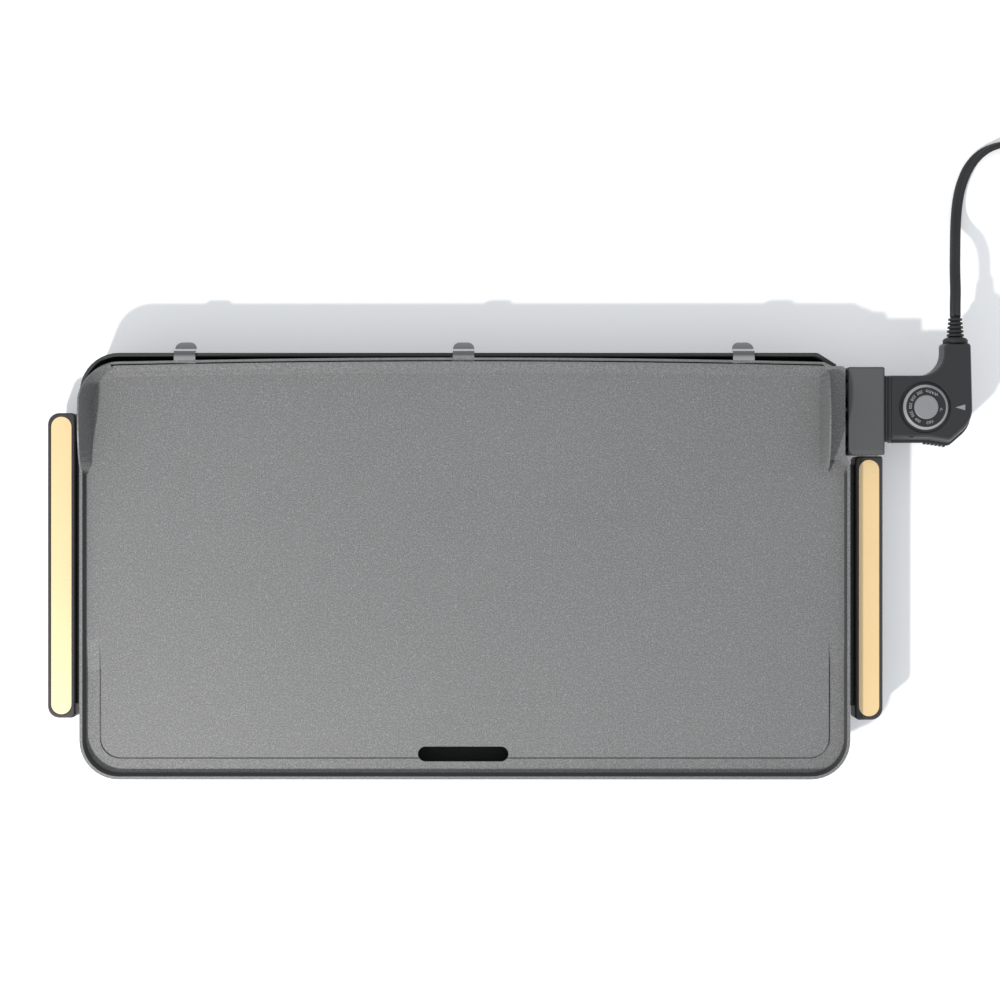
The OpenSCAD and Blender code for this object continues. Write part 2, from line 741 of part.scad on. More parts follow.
module heat_shield() color("#c8cacc") place() {
  x = [-232, 222];
  y = [-84, 138];
  difference() {
    union() {
      prism(box_outline(x, y, 14), shield_z, shield_z + shield_t);
      for (cy = y) block([x[0] + 16, x[1] - 16], cy < 0 ? [cy, cy + 1] : [cy - 1, cy],
        [shield_z - 5, shield_z + shield_t]);
    }
    for (at = shield_at) rod_z(1.8, at, shield_z - 1, shield_z + 2);
  }
}

module shield_screws() color("#b0b2b4") place() {
  for (at = shield_at) {
    rod_z(3.2, at, shield_z + shield_t, shield_z + shield_t + 2);
    rod_z(1.55, at, shield_z - 8, shield_z + shield_t);
  }
}

// ---- Drip tray ----

module drip_tray() color("#3c3e3c") place() {
  x = tray_x;
  t = 2;
  front = base_front - 3.2;
  difference() {
    union() {
      prism(box_outline([-x, x], [front + 3, tray_rear], 6), tray_z, tray_top - 2);
      prism(box_outline([-x, x], [front, front + 6], 2), tray_z, tray_top);
    }
    prism(box_outline([-x + t, x - t], [front + 3 + t, tray_rear - t], 4), tray_z + t, tray_top + 1);
    // Finger recess under the front lip
    block([-30, 30], [front - 1, front + 1.2], [tray_z - 1, tray_z + 12]);
  }
}

// ---- Heat control ----

// Outline of the case: its south edge, and how far its north and outer edges are drawn in
function case_outline(south, north_in, edge_in) = rounded([
  [control_west, south, 1],
  [control_east - 32, south, 12],
  [control_east - 16.5 - edge_in, south - 2.4, 5],
  [control_east - edge_in, south + 12, 20 - edge_in],
  [control_east - 1.4 - edge_in, control_north - edge_in, 2.5],
  [upright_west + edge_in, control_north - edge_in, 2.5],
  [upright_west + edge_in, arm_north - north_in, 16.5 + north_in],
  [control_west, arm_north - north_in, 1]
]);

// The elbow of the case, which sees all of its outline
case_hub = [upright_west + 11, 118];

module case_hollow(z0, z1) {
  prism(rounded([
    [control_west + case_t, arm_south + 5, 2],
    [control_east - 3.6, arm_south + 5, 21],
    [control_east - 5, control_north - case_t, 1.5],
    [upright_west + case_t, control_north - case_t, 1.5],
    [upright_west + case_t, arm_north - 3.4, 19.5],
    [control_west + case_t, arm_north - 3.4, 2]
  ]), z0, z1);
}

module case_bosses(z0, z1) {
  for (at = case_screw_at) rod_z(3.2, at, z0, z1);
}

// Room for the contact block and for the strain relief's neck in either half of the case
module case_ports() {
  block([control_west - 1, control_west + case_t + 1], block_y, block_z);
  rod_y(5.7, relief_x, control_north - case_t - 1, control_north + 1, socket_z);
}

module control_top_case() color("#3c3c3c") place() {
  rim = control_z - 1.7;
  difference() {
    union() {
      difference() {
        union() {
          loft(case_outline(arm_south + 1.4, 0, 0), case_outline(arm_south + 4, 0.8, 0.5), split_z, rim, case_hub);
          loft(case_outline(arm_south + 4, 0.8, 0.5), case_outline(arm_south + 5.4, 3, 1.4), rim, control_z,
            case_hub);
        }
        case_hollow(split_z - 1, control_z - case_t);
      }
      case_bosses(split_z, control_z - 1);
    }
    case_ports();
    rod_z(dial_r + 1.4, dial_at, control_z - 1, control_z + 1);
    rod_z(3.05, dial_at, control_z - 5, control_z);
    for (at = case_screw_at) rod_z(1.3, at, split_z - 1, split_z + 6);
  }
}

module control_bottom_case() color("#3f3f3f") place() {
  difference() {
    union() {
      difference() {
        union() {
          prism(case_outline(arm_south, 0, 0), control_base + 2, split_z);
          loft(case_outline(arm_south + 2.5, 1.5, 1.5), case_outline(arm_south, 0, 0), control_base,
            control_base + 2, case_hub);
        }
        case_hollow(control_base + case_t, split_z + 1);
      }
      case_bosses(control_base + 1, split_z);
      // Grip ridges on the south side
      for (x = [half_w + 58 : 2.8 : half_w + 72])
        rod_z(0.9, [x, south_edge(x) - 0.3], control_base + 4, split_z - 2);
    }
    case_ports();
    for (at = case_screw_at) {
      rod_z(1.5, at, control_base - 1, split_z + 1);
      rod_z(2.9, at, control_base - 1, control_base + 2);
    }
  }
}

// South edge of the case, which swells out before its rounded corner
function south_edge(x) = arm_south - 2.4 * max(0, x - control_east + 32) / 15.5;

module case_screws() color("#8c8e90") place() {
  for (at = case_screw_at) {
    rod_z(2.7, at, control_base + 0.3, control_base + 2);
    rod_z(1.25, at, control_base + 2, split_z + 5);
  }
}

// The flange that meets the guard when the control is pushed home
module control_collar() color("#454545") place() {
  x0 = housing_end + 0.7;
  grip = [control_base + 0.5, control_z - 0.5];
  difference() {
    translate([x0, 0, 0]) rotate([90, 0, 90]) linear_extrude(control_west - x0)
      polygon(box_outline([arm_south + 0.6, arm_north - 0.5], grip, 3));
    block([x0 - 1, control_west + 1], [block_y[0] - 0.05, block_y[1] + 0.05],
      [block_z[0] - 0.05, block_z[1] + 0.05]);
    // Groove round the flange
    difference() {
      block([x0 + 1.6, x0 + 2.8], [arm_south - 1, arm_north + 1], [control_base - 1, control_z + 1]);
      block([x0, x0 + 4], [arm_south + 1.6, arm_north - 1.5], [control_base + 1.5, control_z - 1.5]);
    }
  }
}

module contact_block() color("#5a4630") place() {
  x = [half_w + 4.5, control_west + 3];
  difference() {
    block(x, block_y, block_z);
    for (y = pin_y) rod_x(3.95, x[0] - 1, x[1] + 1, y, socket_z);
    rod_x(rod_r + 0.05, x[0] - 1, x[1] + 1, socket_y, socket_z);
  }
}

module contact_sockets() color("#c9a75a") place() {
  for (y = pin_y) difference() {
    rod_x(3.9, half_w + 5.5, control_west + 9, y, socket_z);
    rod_x(2.5, half_w + 4, control_west + 3, y, socket_z);
  }
}

module sensor_rod() color("#c6c8ca") place() {
  rod_x(rod_r, 230, control_west + 12, socket_y, socket_z);
  translate([230, socket_y, socket_z]) sphere(r = rod_r);
}

// The frame that holds the switch, with a bush for the dial's shaft
module thermostat_frame() color("#b8babc") place() {
  x = [control_west + 9.5, control_west + 39];
  y = [socket_y - 9, socket_y + 10];
  low = socket_z - 7;
  high = socket_z + 5.5;
  difference() {
    union() {
      block(x, y, [low, low + 1.2]);
      block([dial_at.x - 8, x[1]], y, [high, high + 1.2]);
      block([x[1] - 1.2, x[1]], y, [low, high + 1.2]);
      rod_z(5, dial_at, high - 1, high + 1.9);
    }
    rod_z(3.05, dial_at, high - 2, high + 3);
  }
}

module bimetal_strip() color("#a08a5c") place() {
  block([control_west + 12.5, control_west + 36], [socket_y - 4, socket_y + 4], [socket_z - 3, socket_z - 2.2]);
  block([control_west + 34, control_west + 36], [socket_y - 4, socket_y + 4], [socket_z - 5.8, socket_z - 3]);
}

module contact_arm() color("#b87333") place() {
  block([control_west + 18, control_west + 37.8], [socket_y + 5.5, socket_y + 9], [socket_z + 0.5, socket_z + 1]);
  rod_z(1.6, [control_west + 20, socket_y + 7.2], socket_z - 0.5, socket_z + 0.5);
  block([control_west + 35.5, control_west + 37.8], [socket_y + 5.5, socket_y + 9], [socket_z - 5.8, socket_z + 0.5]);
}

module power_leads() color("#d8d4cc") place() {
  for (k = [0, 1]) {
    x = relief_x - 4 + 4 * k;
    y = pin_y[1] + 3.5 - 3.5 * k;
    rod_y(1.3, x, y - 1.3, control_north - 5.2, socket_z - 4);
    rod_x(1.3, control_west + 9.2, x, y, socket_z - 4);
  }
}

function rib_r(k) = 6.8 - 1.9 * k / (relief_end - control_north);

module strain_relief() color("#333333") place() {
  ribs = 5;
  first = 4.8;
  pitch = 2.9;
  length = relief_end - control_north;
  profile = [
    [0, -5], [6.3, -5], [6.3, -case_t - 0.1], [5.6, -case_t - 0.1], [5.6, 0.05], [9.1, 0.05], [9.1, 2.2],
    [8.2, 3.4],
    for (k = [0 : ribs - 1], c = [[0, -1.5], [0.4, 0], [1.8, 0], [2.2, -1.5]])
      let (y = first + pitch * k + c[0]) [rib_r(y) + c[1], y],
    [rib_r(length) - 1, length], [0, length]
  ];
  translate([relief_x, control_north, socket_z]) rotate([-90, 0, 0]) rotate_extrude() polygon(profile);
}

// ---- Dial ----

dial_base = control_z - 0.8;
dial_step = control_z + 1.4;
dial_face = control_z + 3.4;
ring_in = dial_r - 2.9;

module dial_skirt() color("#343434") place() difference() {
  translate([dial_at.x, dial_at.y, 0]) rotate_extrude() polygon([
    [0, dial_base], [dial_r, dial_base], [dial_r, dial_step - 0.6], [dial_r - 0.6, dial_step],
    [ring_in - 0.05, dial_step], [ring_in - 0.05, dial_face], [0, dial_face]
  ]);
  rod_z(3, dial_at, dial_base - 1, dial_step);
}

// The sloping band round the dial
module dial_ring() color("#bebebe") place()
  translate([dial_at.x, dial_at.y, 0]) rotate_extrude() polygon([
    [ring_in, dial_step + 0.05], [dial_r - 1, dial_step + 0.05], [dial_r - 1, dial_step + 0.4],
    [ring_in + 0.3, dial_face], [ring_in, dial_face]
  ]);

module dial_cap() color("#a0a0a0") place()
  translate([dial_at.x, dial_at.y, 0]) rotate_extrude() polygon([
    [0, dial_face], [8.8, dial_face], [8.8, dial_face + 0.9], [8.1, dial_face + 1.5], [0, dial_face + 1.6]
  ]);

module dial_shaft() color("#c6c8ca") place()
  rod_z(2.95, dial_at, socket_z - 1, dial_step - 0.1);

// ---- Power cord ----

function exit_point() = [relief_x, relief_end];
function coil_centre() = exit_point() + coil_at;

module cord_lead() color("#2d2d2d") place() {
  from = exit_point();
  path = [for (p = lead_route) [from.x + p[0], from.y + p[1], p[2]]];
  skin(tube_rings(path, cord_w, cord_t, 8, [for (p = lead_route) p[3]]));
}

module cord_coil() color("#2d2d2d") place()
  translate([coil_centre().x, coil_centre().y, coil_z]) rotate_extrude($fn = 96)
    translate([coil_in - cord_t / 2 - 0.4, 0]) square([coil_out - coil_in + cord_t + 0.4, cord_w]);

function tail_point(p) =
  [coil_centre().x + p[1] * cos(p[0]), coil_centre().y + p[1] * sin(p[0]), p[2]];

module cord_tail() color("#2d2d2d") place()
  skin(tube_rings([for (p = tail_route) tail_point(p)], cord_w, cord_t, 8, [for (p = tail_route) p[3]]));

module cord_tie() color("#202020") place()
  translate([coil_centre().x, coil_centre().y, 0]) rotate([0, 0, -35]) difference() {
    block([coil_in - 3.8, coil_out + 3.4], [-2, 2], [0, cord_w + 1.6]);
    block([coil_in - 3, coil_out + 2.6], [-3, 3], [coil_z, cord_w + 0.8]);
  }

// The plug lies flat on the coil
module at_plug() {
  p = tail_point(tail_route[len(tail_route) - 1]);
  translate(p) rotate([0, 0, plug_turn]) children();
}

module plug_body() color("#2a2a2a") place() at_plug() {
  hull() {
    block([0, 1], [-4.6, 4.6], [-3, 3]);
    block([12, 13], [-8, 8], [-4.4, 4.4]);
  }
  hull() {
    block([12, 13], [-8, 8], [-4.4, 4.4]);
    block([15, plug_len - 1], [-12, 12], [-5.2, 5.2]);
    block([15, plug_len], [-11.4, 11.4], [-4.6, 4.6]);
  }
}

module plug_blades() color("#cdb46e") place() at_plug()
  for (s = [-1, 1])
    block([plug_len, plug_len + 17], [s * 6.35 - 0.75, s * 6.35 + 0.75], [-3.15, 3.15]);

base_tray();
rubber_feet();
left_handle();
right_handle();
left_handle_inlay();
right_handle_inlay();
handle_screws();
heat_shield();
shield_screws();
drip_tray();
griddle_plate();
heating_element();
element_clamps();
clamp_screws();
sensor_sleeve();
terminal_bracket();
bracket_screws();
terminal_insulators();
terminal_pins();
socket_housing();
housing_screws();
clip_rivets();
clip_left();
clip_centre();
clip_right();
control_top_case();
control_bottom_case();
control_collar();
contact_block();
contact_sockets();
sensor_rod();
thermostat_frame();
bimetal_strip();
contact_arm();
power_leads();
case_screws();
strain_relief();
dial_skirt();
dial_ring();
dial_cap();
dial_shaft();
cord_lead();
cord_coil();
cord_tail();
cord_tie();
plug_body();
plug_blades();
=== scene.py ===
"""Looks for the electric griddle: materials, power cord, dial marks, studio light and camera."""
import json
import math

import bpy
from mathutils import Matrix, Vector


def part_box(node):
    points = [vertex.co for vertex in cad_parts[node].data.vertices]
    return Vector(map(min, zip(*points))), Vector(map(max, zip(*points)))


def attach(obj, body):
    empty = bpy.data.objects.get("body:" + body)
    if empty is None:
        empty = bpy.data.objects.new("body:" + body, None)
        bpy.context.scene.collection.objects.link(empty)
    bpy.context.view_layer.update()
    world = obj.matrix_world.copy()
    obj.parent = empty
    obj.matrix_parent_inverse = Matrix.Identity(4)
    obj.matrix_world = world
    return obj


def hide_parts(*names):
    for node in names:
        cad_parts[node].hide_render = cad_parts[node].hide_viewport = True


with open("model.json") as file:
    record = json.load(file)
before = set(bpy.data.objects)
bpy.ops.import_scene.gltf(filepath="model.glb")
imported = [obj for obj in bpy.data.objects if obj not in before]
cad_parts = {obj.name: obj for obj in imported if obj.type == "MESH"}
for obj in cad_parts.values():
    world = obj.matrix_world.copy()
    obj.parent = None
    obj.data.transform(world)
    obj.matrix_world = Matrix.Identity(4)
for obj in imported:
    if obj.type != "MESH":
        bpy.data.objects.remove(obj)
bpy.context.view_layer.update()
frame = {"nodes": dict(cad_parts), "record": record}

MM = 0.001

# ---- Camera: straight above, a little behind the middle ----
CAMERA_AT = (-0.00675, 0.0438, 1.56)
CAMERA_LENS = 74.5
SENSOR_WIDTH = 36.0
camera_data = bpy.data.cameras.new("camera")
camera_data.lens = CAMERA_LENS
camera_data.sensor_width = SENSOR_WIDTH
camera_data.clip_start = 0.05
camera_data.clip_end = 20.0
camera = bpy.data.objects.new("camera", camera_data)
camera.location = CAMERA_AT
bpy.context.collection.objects.link(camera)
bpy.context.scene.camera = camera


def mesh_object(name, verts, faces, smooth=False):
    mesh = bpy.data.meshes.new(name)
    mesh.from_pydata(verts, [], faces)
    mesh.update()
    for face in mesh.polygons:
        face.use_smooth = smooth
    obj = bpy.data.objects.new(name, mesh)
    bpy.context.collection.objects.link(obj)
    return obj


# ---- Power cord: the route of the CAD's lead, coil and tail ----
EXIT_HEIGHT = 40.0
relief_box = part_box("strain_relief")
EXIT = Vector(((relief_box[0][0] + relief_box[1][0]) / 2, relief_box[1][1], EXIT_HEIGHT * MM))
CORD_WIDTH = 8.0
LOBE_R = 2.35
LOBE_X = CORD_WIDTH / 2 - LOBE_R
LOBE_POINTS = 12

# [across, rearward, height, roll], in millimetres and degrees, from the strain relief's end
LEAD_ROUTE = [
    (0, 0, 40, 0), (0, 10, 40, 0), (0.5, 20, 38.5, 0), (1, 30, 35, 0), (2, 39.5, 30, 0),
    (3.5, 48.5, 23.5, 0), (5, 57.5, 17, 0), (6.5, 67, 11, 0), (8, 77, 6.2, 0),
    (9.5, 87.5, 3.4, 0), (11.5, 98, 2.6, 0), (14.5, 107.5, 2.6, 10), (18.5, 116, 3, 25),
    (24.5, 123.5, 3.4, 45), (32, 129, 4, 65), (41, 132.2, 4.6, 80), (50, 133, 4.8, 90),
    (68, 133, 4.8, 90), (88, 133, 4.8, 90),
]
COIL_AT = (104, 84)
COIL_OUT, COIL_IN = 49.0, 35.5
COIL_START = 90
COIL_SWEEP = 990
COIL_STEPS = 66
COIL_Z = 4.8
ROUTE_CUTS = 3
# [angle, radius, height, roll] about the coil's middle
TAIL_ROUTE = [
    (162, 35.2, 6.6, 90), (144, 34.9, 9.4, 80), (126, 35.2, 12, 60),
    (108, 36.5, 13.6, 35), (92, 38.6, 14.2, 10), (78, 41, 14.2, 0),
]


def polar(angle, radius):
    a = math.radians(angle)
    return COIL_AT[0] + radius * math.cos(a), COIL_AT[1] + radius * math.sin(a)


def cord_points():
    """The whole route, as [across, rearward, height, roll] from the strain relief's end."""
    points = [tuple(map(float, p)) for p in LEAD_ROUTE]
    for k in range(COIL_STEPS + 1):
        t = k / COIL_STEPS
        x, y = polar(COIL_START - COIL_SWEEP * t, COIL_OUT + (COIL_IN - COIL_OUT) * t)
        points.append((x, y, COIL_Z, 90.0))
    for angle, radius, z, roll in TAIL_ROUTE:
        points.append((*polar(angle, radius), z, float(roll)))
    return points


def catmull(points, cuts):
    """A smooth run through the points, with cuts pieces between each pair."""
    out = []
    last = len(points) - 1
    for i in range(last):
        p0, p1 = points[max(i - 1, 0)], points[i]
        p2, p3 = points[i + 1], points[min(i + 2, last)]
        for k in range(cuts):
            t = k / cuts
            out.append(tuple(
                0.5 * (2 * b + (c - a) * t + (2 * a - 5 * b + 4 * c - d) * t * t
                       + (3 * b - a - 3 * c + d) * t ** 3)
                for a, b, c, d in zip(p0, p1, p2, p3)))
    out.append(points[-1])
    return out


def twin_section():
    """The two-lobed outline of a flat twin cord, wide along its first axis."""
    half = 180 - math.degrees(math.acos(LOBE_X / LOBE_R))
    right = []
    for k in range(LOBE_POINTS):
        a = math.radians(-half + 2 * half * k / (LOBE_POINTS - 1))
        right.append((LOBE_X + LOBE_R * math.cos(a), LOBE_R * math.sin(a)))
    left = [(-x, -y) for x, y in right]
    return right + left[1:-1]


def make_cord():
    """The cord's mesh, its centre line and its length."""
    route = catmull(cord_points(), ROUTE_CUTS)
    centre = [EXIT + Vector((x, y, z - EXIT_HEIGHT)) * MM for x, y, z, _ in route]
    section = twin_section()
    verts, faces = [], []
    last = len(centre) - 1
    for i, here in enumerate(centre):
        way = (centre[min(i + 1, last)] - centre[max(i - 1, 0)]).normalized()
        across = way.cross(Vector((0, 0, 1))).normalized()
        up = across.cross(way)
        roll = math.radians(route[i][3])
        wide = across * math.cos(roll) + up * math.sin(roll)
        thin = up * math.cos(roll) - across * math.sin(roll)
        verts += [here + (wide * a + thin * b) * MM for a, b in section]
    m = len(section)
    for i in range(last):
        for k in range(m):
            j = (k + 1) % m
            faces.append((i * m + k, i * m + j, (i + 1) * m + j, (i + 1) * m + k))
    faces.append(tuple(range(m - 1, -1, -1)))
    faces.append(tuple(last * m + k for k in range(m)))
    cord = mesh_object("power_cord", verts, faces, smooth=True)
    length = sum((b - a).length for a, b in zip(centre, centre[1:]))
    return cord, centre, length


cord, cord_path, cord_length = make_cord()
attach(cord, "control")
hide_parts("cord_lead", "cord_coil", "cord_tail")


# ---- Materials ----
# Rearward of this line, at the foot of the ears, the rim's inner face gets no painted shade and
# keeps the plate's colour
EAR_FOOT_Y = 0.064
EAR_FOOT_BLEND = 0.002
FLECK_COLOUR = (0.27, 0.27, 0.275, 1)
# Painted shade for the steep inner face of the rim in front of the ears
RIM_FACE_PAINTED_SHADE = (0.05, 0.05, 0.051, 1)
BLACK = (0, 0, 0, 1)
clip_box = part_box("clip_left")
CLIP_Y = (clip_box[0][1], clip_box[1][1])


class Graph:
    """A short way to build a procedural material round one principled shader."""

    def __init__(self, name):
        self.material = bpy.data.materials.new(name)
        self.material.use_nodes = True
        self.tree = self.material.node_tree
        self.shader = self.tree.nodes["Principled BSDF"]
        self.coords = self.add("ShaderNodeTexCoord").outputs["Object"]

    def add(self, kind, **inputs):
        made = self.tree.nodes.new(kind)
        for key, value in inputs.items():
            self.feed(made.inputs[key.replace("_", " ")], value)
        return made

    def feed(self, socket, value):
        if isinstance(value, bpy.types.NodeSocket):
            self.tree.links.new(value, socket)
        else:
            socket.default_value = value

    def noise(self, scale, detail=3.0, rough=0.55, stretch=None):
        coords = self.coords
        if stretch:
            mapping = self.add("ShaderNodeMapping", Vector=coords)
            mapping.inputs["Scale"].default_value = stretch
            coords = mapping.outputs["Vector"]
        made = self.add("ShaderNodeTexNoise", Vector=coords, Scale=scale, Detail=detail,
                        Roughness=rough)
        return made.outputs["Fac"]

    def cells(self, scale):
        made = self.add("ShaderNodeTexVoronoi", Vector=self.coords, Scale=scale)
        return made.outputs["Distance"]

    def ramp(self, value, stops):
        made = self.add("ShaderNodeValToRGB", Fac=value)
        ramp = made.color_ramp
        while len(ramp.elements) < len(stops):
            ramp.elements.new(0.5)
        for element, (at, colour) in zip(ramp.elements, stops):
            element.position = at
            element.color = (*colour, 1.0)
        return made.outputs["Color"]

    def part(self, vector, axis):
        """One coordinate of a vector, named X, Y or Z."""
        return self.add("ShaderNodeSeparateXYZ", Vector=vector).outputs[axis]

    def span_from(self, value, low, high):
        """The value scaled so that low becomes 0 and high becomes 1."""
        made = self.add("ShaderNodeMapRange", Value=value)
        made.inputs["From Min"].default_value = low
        made.inputs["From Max"].default_value = high
        return made.outputs["Result"]

    def span(self, value, low, high):
        """A value from 0 to 1 scaled to run from low to high."""
        made = self.add("ShaderNodeMapRange", Value=value)
        made.inputs["To Min"].default_value = low
        made.inputs["To Max"].default_value = high
        return made.outputs["Result"]

    def mix(self, factor, a, b):
        made = self.tree.nodes.new("ShaderNodeMix")
        made.data_type = "RGBA"
        self.feed(made.inputs[0], factor)
        self.feed(made.inputs[6], a)
        self.feed(made.inputs[7], b)
        return made.outputs[2]

    def relief(self, height, depth, edge):
        """Fine relief on top of edges that shade as if rounded by the given radius."""
        bevel = self.tree.nodes.new("ShaderNodeBevel")
        bevel.samples = 4
        bevel.inputs["Radius"].default_value = edge
        bump = self.add("ShaderNodeBump", Height=height, Normal=bevel.outputs["Normal"])
        bump.inputs["Strength"].default_value = 0.5
        bump.inputs["Distance"].default_value = depth
        self.feed(self.shader.inputs["Normal"], bump.outputs["Normal"])


def grey(value):
    return (value, value, value)


def tinted(colour, factor):
    return tuple(min(1.0, c * factor) for c in colour)


def plain_surface(name, colour, rough, metallic=0.0, grain=900.0, depth=0.00006, edge=0.0006,
                  stretch=None, contrast=0.12, specular=0.4, ior=1.5):
    """One colour with a faint fine grain, slow clouding and softened edges."""
    g = Graph(name)
    fine = g.noise(grain, stretch=stretch)
    broad = g.noise(14.0, detail=2.0)
    dark = tinted(colour, 1 - contrast)
    light = tinted(colour, 1 + contrast)
    fine_colour = g.ramp(fine, [(0.3, dark), (0.7, light)])
    broad_colour = g.ramp(broad, [(0.35, tinted(colour, 0.95)), (0.65, tinted(colour, 1.05))])
    g.feed(g.shader.inputs["Base Color"], g.mix(0.35, fine_colour, broad_colour))
    g.feed(g.shader.inputs["Roughness"], g.span(fine, rough - 0.07, rough + 0.07))
    g.shader.inputs["Metallic"].default_value = metallic
    g.shader.inputs["Specular IOR Level"].default_value = specular
    g.shader.inputs["IOR"].default_value = ior
    g.relief(fine, depth, edge)
    return g.material


def plate_surface():
    """Speckled non-stick coating: a mid grey with fine pale and dark flecks."""
    g = Graph("plate_coating")
    flecks = g.ramp(g.cells(820.0), [(0.12, grey(1.0)), (0.42, grey(0.0))])
    gate = g.ramp(g.noise(420.0, detail=2.0), [(0.36, grey(0.1)), (0.62, grey(1.0))])
    pale = g.mix(flecks, BLACK, gate)
    base = g.ramp(g.noise(1000.0, detail=2.0), [(0.32, grey(0.075)), (0.68, grey(0.226))])
    cloud = g.ramp(g.noise(9.0, detail=2.0), [(0.3, grey(0.146)), (0.7, grey(0.166))])
    body = g.mix(0.35, base, cloud)
    speckled = g.mix(pale, body, FLECK_COLOUR)
    # Painted shade: the steep inner face of the rim, in front of the ears, is painted darker
    normal = g.add("ShaderNodeNewGeometry").outputs["True Normal"]
    steep = g.ramp(g.part(normal, "Z"), [(0.35, grey(1.0)), (0.6, grey(0.0))])
    ahead = g.ramp(g.part(g.coords, "Y"), [(EAR_FOOT_Y, grey(1.0)),
                                           (EAR_FOOT_Y + EAR_FOOT_BLEND, grey(0.0))])
    painted_rim_shade_mask = g.mix(steep, BLACK, ahead)
    g.feed(g.shader.inputs["Base Color"], g.mix(painted_rim_shade_mask, speckled, RIM_FACE_PAINTED_SHADE))
    g.feed(g.shader.inputs["Roughness"], g.span(g.noise(700.0), 0.40, 0.56))
    g.shader.inputs["Metallic"].default_value = 0.0
    g.shader.inputs["Specular IOR Level"].default_value = 0.5
    g.relief(g.noise(1100.0), 0.00008, 0.0005)
    return g.material


def clip_surface():
    """Bright spring steel with painted shade and painted highlights: dark and pale bands across
    each clip stand in for the light on its bends.
    """
    g = Graph("clip_steel")
    along = g.span_from(g.part(g.coords, "Y"), CLIP_Y[0], CLIP_Y[1])
    # Painted shade and painted highlights in bands along each clip, for the light on its bends
    painted_bend_light = g.ramp(along, [(0.0, grey(0.62)), (0.3, grey(0.44)), (0.42, grey(0.16)),
                           (0.56, grey(0.2)), (0.64, grey(0.6)), (0.72, grey(0.22)),
                           (1.0, grey(0.3))])
    g.feed(g.shader.inputs["Base Color"], painted_bend_light)
    g.feed(g.shader.inputs["Roughness"], g.span(g.noise(500.0, stretch=(1, 8, 1)), 0.2, 0.3))
    g.shader.inputs["Metallic"].default_value = 1.0
    g.relief(g.noise(500.0, stretch=(8, 1, 1)), 0.00002, 0.0003)
    return g.material


LOOKS = {
    "base_plastic": dict(colour=(0.032, 0.035, 0.033), rough=0.48, grain=1300),
    "handle_plastic": dict(colour=(0.036, 0.034, 0.036), rough=0.42, grain=1300, edge=0.001),
    "gold_trim": dict(colour=(0.80, 0.55, 0.215), rough=0.44, specular=1.0, ior=1.9, grain=600,
                      stretch=(6, 0.5, 1), contrast=0.05, depth=0.00003),
    "rod_steel": dict(colour=(0.5, 0.5, 0.49), rough=0.26, metallic=1.0, grain=500,
                      contrast=0.04, depth=0.00002, edge=0.0003),
    "screw_steel": dict(colour=(0.55, 0.55, 0.56), rough=0.34, metallic=1.0, grain=900,
                        contrast=0.08, edge=0.0003),
    "shield_metal": dict(colour=(0.66, 0.67, 0.68), rough=0.32, metallic=1.0, grain=500,
                         stretch=(0.4, 9, 1), contrast=0.08, edge=0.0003),
    "element_steel": dict(colour=(0.21, 0.19, 0.18), rough=0.5, metallic=0.8, grain=800,
                          contrast=0.25),
    "ceramic": dict(colour=(0.09, 0.08, 0.07), rough=0.5, grain=900, contrast=0.05),
    "brass": dict(colour=(0.76, 0.58, 0.27), rough=0.3, metallic=1.0, grain=700, contrast=0.1,
                  edge=0.0003),
    "bakelite": dict(colour=(0.12, 0.075, 0.045), rough=0.4, grain=500, contrast=0.2),
    "guard_plastic": dict(colour=(0.086, 0.086, 0.087), rough=0.62, grain=1500, depth=0.0001,
                          specular=0.3, edge=0.0009),
    "probe_plastic": dict(colour=(0.024, 0.024, 0.025), rough=0.38, grain=1500, edge=0.0009),
    "dial_dark": dict(colour=(0.018, 0.018, 0.019), rough=0.4, grain=1500, edge=0.0004),
    "dial_light": dict(colour=(0.36, 0.36, 0.37), rough=0.4, metallic=0.3, grain=900,
                       contrast=0.05, edge=0.0004),
    "dial_grey": dict(colour=(0.24, 0.24, 0.245), rough=0.42, grain=900, contrast=0.06,
                      edge=0.0005),
    "rubber": dict(colour=(0.018, 0.018, 0.019), rough=0.75, grain=1500, contrast=0.2),
    "cord_rubber": dict(colour=(0.020, 0.020, 0.021), rough=0.55, grain=1800, contrast=0.2,
                        edge=0.0004),
    "plug_plastic": dict(colour=(0.02, 0.02, 0.021), rough=0.5, grain=1500, edge=0.0008),
    "wire_sleeve": dict(colour=(0.68, 0.65, 0.60), rough=0.8, grain=2200, contrast=0.2,
                        depth=0.0002),
}
materials = {name: plain_surface(name, **look) for name, look in LOOKS.items()}
materials["plate_coating"] = plate_surface()
materials["clip_steel"] = clip_surface()
mark_paint = plain_surface("mark_paint", (0.42, 0.42, 0.42), 0.5, grain=1600, contrast=0.08)
pointer_paint = plain_surface("pointer_paint", (0.27, 0.27, 0.27), 0.5, grain=1600, contrast=0.08)


def dress(obj, material):
    obj.data.materials.clear()
    obj.data.materials.append(material)


for subpart in frame["record"]["subparts"]:
    node = frame["nodes"][subpart["node"]]
    for slot in node.material_slots:
        slot.material = materials[subpart["material_slot"]]
for slot in frame["nodes"]["sensor_rod"].material_slots:
    slot.material = materials["rod_steel"]
dress(cord, materials["cord_rubber"])

# ---- Dial marks and pointer ----
cap_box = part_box("dial_cap")
skirt_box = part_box("dial_skirt")
dial_centre = Vector(((cap_box[0][0] + cap_box[1][0]) / 2, (cap_box[0][1] + cap_box[1][1]) / 2, 0))
DIAL_FACE_Z = skirt_box[1][2]
MARK_R = 0.0115
MARK_SIZE = 0.0030
MARK_THICKNESS = 0.00004
MARK_LIFT = 0.00005
MARK_SPACING = 1.05
# Each mark and its angle round the dial, in degrees from the pointer
MARKS = [("200", 114), ("250", 145), ("300", 175), ("350", 206), ("400", 237), ("OFF", 284),
         ("WARM", 68), ("\u00b0F", -10)]

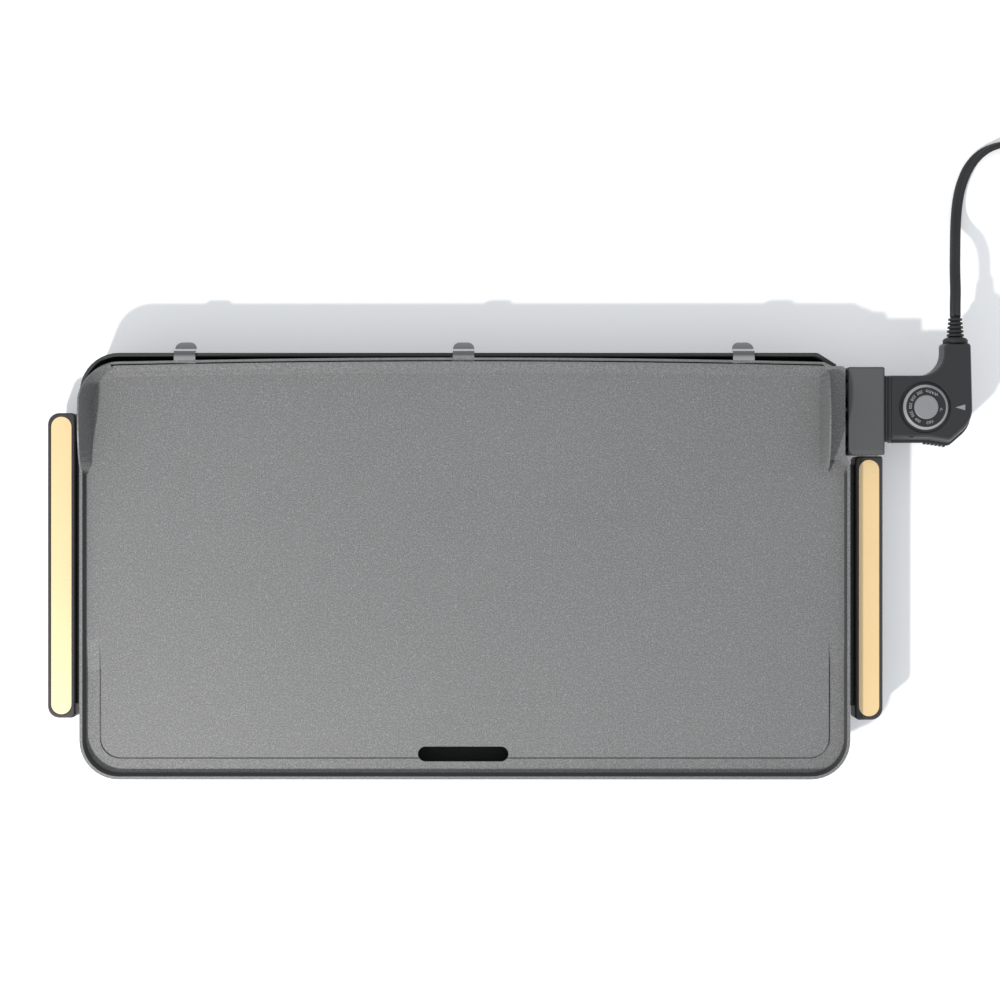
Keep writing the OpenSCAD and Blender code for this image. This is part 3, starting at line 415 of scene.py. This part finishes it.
for index, (text, angle) in enumerate(MARKS):
    data = bpy.data.curves.new(f"dial_mark_{index}", "FONT")
    data.body = text
    data.size = MARK_SIZE
    data.align_x = "CENTER"
    data.align_y = "CENTER"
    data.extrude = MARK_THICKNESS
    data.space_character = MARK_SPACING
    mark = bpy.data.objects.new(f"dial_mark_{index}", data)
    bpy.context.collection.objects.link(mark)
    turn = math.radians(angle)
    mark.location = dial_centre + Vector((MARK_R * math.cos(turn), MARK_R * math.sin(turn),
                                          DIAL_FACE_Z + MARK_LIFT))
    mark.rotation_euler = (0, 0, turn + math.pi / 2)
    dress(mark, mark_paint)
    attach(mark, "dial")

case_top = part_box("control_top_case")[1][2]
# Distances of the pointer's tip and base from the dial's centre, half its width, and how far it
# stands out of the case and reaches into it
POINTER_NEAR, POINTER_FAR, POINTER_HALF = 0.0219, 0.0293, 0.00215
POINTER_RISE, POINTER_SUNK = 0.00012, 0.0001


def make_pointer():
    """A thin triangle on the case that points at the dial."""
    x0, x1 = dial_centre.x + POINTER_NEAR, dial_centre.x + POINTER_FAR
    y = dial_centre.y
    flat = [(x0, y), (x1, y - POINTER_HALF), (x1, y + POINTER_HALF)]
    verts = [(px, py, case_top - POINTER_SUNK) for px, py in flat]
    verts += [(px, py, case_top + POINTER_RISE) for px, py in flat]
    faces = [(2, 1, 0), (3, 4, 5), (0, 1, 4, 3), (1, 2, 5, 4), (2, 0, 3, 5)]
    return mesh_object("pointer_mark", verts, faces)


pointer = make_pointer()
dress(pointer, pointer_paint)
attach(pointer, "control")

# ---- Floor, light and world ----
FLOOR_HALF = 3.0
FLOOR_DROP = 0.0002
FLOOR_COLOUR = (0.93, 0.935, 0.94, 1)
# A faint glow of the paper, which lifts the shadows on it
FLOOR_GLOW = 0.17
KEY_AT = (-0.684, -0.880, 1.35)
KEY_SIZE, KEY_POWER, KEY_COLOUR = 0.09, 26, (1.0, 0.985, 0.965)
WORLD_COLOUR, WORLD_STRENGTH = (0.93, 0.96, 1.0, 1), 0.74
floor = mesh_object("floor", [(-FLOOR_HALF, -FLOOR_HALF, 0), (FLOOR_HALF, -FLOOR_HALF, 0),
                              (FLOOR_HALF, FLOOR_HALF, 0), (-FLOOR_HALF, FLOOR_HALF, 0)],
                    [(0, 1, 2, 3)])
floor.location.z = -FLOOR_DROP
floor_paint = bpy.data.materials.new("floor_paper")
floor_paint.use_nodes = True
floor_shader = floor_paint.node_tree.nodes["Principled BSDF"]
floor_shader.inputs["Base Color"].default_value = FLOOR_COLOUR
floor_shader.inputs["Roughness"].default_value = 0.9
floor_shader.inputs["Specular IOR Level"].default_value = 0.1
floor_shader.inputs["Emission Color"].default_value = (1, 1, 1, 1)
floor_shader.inputs["Emission Strength"].default_value = FLOOR_GLOW
dress(floor, floor_paint)


def area_light(name, location, target, size, power, colour):
    data = bpy.data.lights.new(name, "AREA")
    data.shape = "DISK"
    data.size = size
    data.energy = power
    data.color = colour
    light = bpy.data.objects.new(name, data)
    light.location = location
    way = Vector(target) - Vector(location)
    light.rotation_euler = way.to_track_quat("-Z", "Y").to_euler()
    bpy.context.collection.objects.link(light)


area_light("key", KEY_AT, (0, 0, 0), KEY_SIZE, KEY_POWER, KEY_COLOUR)
world = bpy.data.worlds.new("studio")
world.use_nodes = True
background = world.node_tree.nodes["Background"]
background.inputs["Color"].default_value = WORLD_COLOUR
background.inputs["Strength"].default_value = WORLD_STRENGTH
bpy.context.scene.world = world
bpy.context.scene.view_settings.view_transform = "Standard"
bpy.context.scene.view_settings.look = "None"


bpy.context.view_layer.update()
